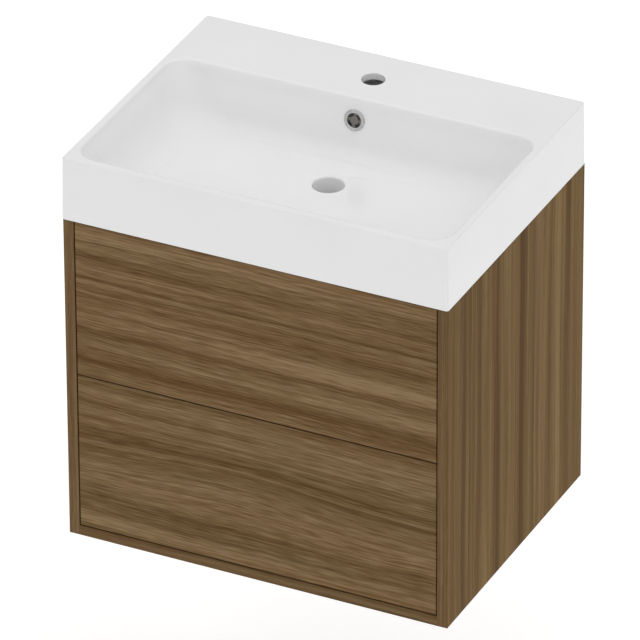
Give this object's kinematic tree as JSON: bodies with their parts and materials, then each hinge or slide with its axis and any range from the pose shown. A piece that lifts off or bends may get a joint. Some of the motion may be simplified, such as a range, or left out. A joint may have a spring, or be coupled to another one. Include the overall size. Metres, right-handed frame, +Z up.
{
  "type": "vanity unit",
  "caption": "Wall-hung bathroom vanity unit: white basin with tap, waste and overflow holes on a walnut cabinet with flush, handleless drawers on full-extension runners.",
  "frame": {"origin": "on the wall plane, at the middle of the cabinet's underside", "axes": "+Z up, +Y into the wall, +X to the right for someone facing the unit"},
  "size_m": [0.6, 0.46, 0.6204],
  "materials": {
    "ceramic": "white glaze, satin gloss",
    "chrome": "polished",
    "bedding": "matt foam strip",
    "walnut_decor": "walnut decor, matt, with fine pores",
    "grey_board": "linen-textured grey foil",
    "galvanised_steel": "zinc plated",
    "fastener_steel": "zinc plated",
    "zinc_casting": "die cast",
    "beech": "raw",
    "grey_plastic": "moulded",
    "white_plastic": "moulded"
  },
  "bodies": {
    "cabinet": {"basin": "ceramic", "overflow_ring": "chrome", "overflow_insert": "grey_plastic", "basin_bedding_strips": "bedding", "side_panel_left": "walnut_decor", "side_panel_right": "walnut_decor", "bottom_panel": "walnut_decor", "upper_back_rail": "walnut_decor", "lower_back_rail": "walnut_decor", "front_rail": "walnut_decor", "cabinet_edge_bands": "walnut_decor", "hanging_plates": "galvanised_steel", "hanging_screws": "fastener_steel", "cam_housings": "zinc_casting", "cam_bolts": "fastener_steel", "dowels": "beech", "upper_runner_cabinet_members": "galvanised_steel", "lower_runner_cabinet_members": "galvanised_steel", "runner_screws": "fastener_steel", "upper_latch_housings": "grey_plastic", "lower_latch_housings": "grey_plastic", "latch_screws": "fastener_steel"},
    "upper_drawer": {"upper_drawer_front": "walnut_decor", "upper_drawer_side_left": "grey_board", "upper_drawer_side_right": "grey_board", "upper_drawer_bottom": "grey_board", "upper_drawer_back_left": "grey_board", "upper_drawer_back_right": "grey_board", "upper_trap_surround": "grey_plastic", "upper_front_brackets": "galvanised_steel", "upper_drawer_screws": "fastener_steel", "upper_runner_drawer_members": "galvanised_steel", "upper_runner_clips": "grey_plastic"},
    "upper_runner_middle": {"upper_runner_middle_members": "galvanised_steel"},
    "upper_plungers": {"upper_latch_plungers": "white_plastic"},
    "lower_drawer": {"lower_drawer_front": "walnut_decor", "lower_drawer_side_left": "grey_board", "lower_drawer_side_right": "grey_board", "lower_drawer_bottom": "grey_board", "lower_drawer_back": "grey_board", "lower_front_brackets": "galvanised_steel", "lower_drawer_screws": "fastener_steel", "lower_runner_drawer_members": "galvanised_steel", "lower_runner_clips": "grey_plastic"},
    "lower_runner_middle": {"lower_runner_middle_members": "galvanised_steel"},
    "lower_plungers": {"lower_latch_plungers": "white_plastic"}
  },
  "joints": [
    {"name": "upper_drawer_slide", "type": "slide", "parent": "cabinet", "child": "upper_drawer", "axis": [0, -1, 0], "range_m": [-0.002, 0.38]},
    {"name": "upper_runner_slide", "type": "slide", "parent": "cabinet", "child": "upper_runner_middle", "axis": [0, -1, 0], "range_m": [-0.001, 0.19]},
    {"name": "upper_plunger_slide", "type": "slide", "parent": "cabinet", "child": "upper_plungers", "axis": [0, -1, 0], "range_m": [-0.0001, 0.019]},
    {"name": "lower_drawer_slide", "type": "slide", "parent": "cabinet", "child": "lower_drawer", "axis": [0, -1, 0], "range_m": [-0.002, 0.38]},
    {"name": "lower_runner_slide", "type": "slide", "parent": "cabinet", "child": "lower_runner_middle", "axis": [0, -1, 0], "range_m": [-0.001, 0.19]},
    {"name": "lower_plunger_slide", "type": "slide", "parent": "cabinet", "child": "lower_plungers", "axis": [0, -1, 0], "range_m": [-0.0001, 0.019]}
  ],
  "couplings": [
    {"joint": "upper_runner_slide", "follows": "upper_drawer_slide", "ratio": 0.5},
    {"joint": "upper_plunger_slide", "follows": "upper_drawer_slide", "ratio": 0.05},
    {"joint": "lower_runner_slide", "follows": "lower_drawer_slide", "ratio": 0.5},
    {"joint": "lower_plunger_slide", "follows": "lower_drawer_slide", "ratio": 0.05}
  ]
}
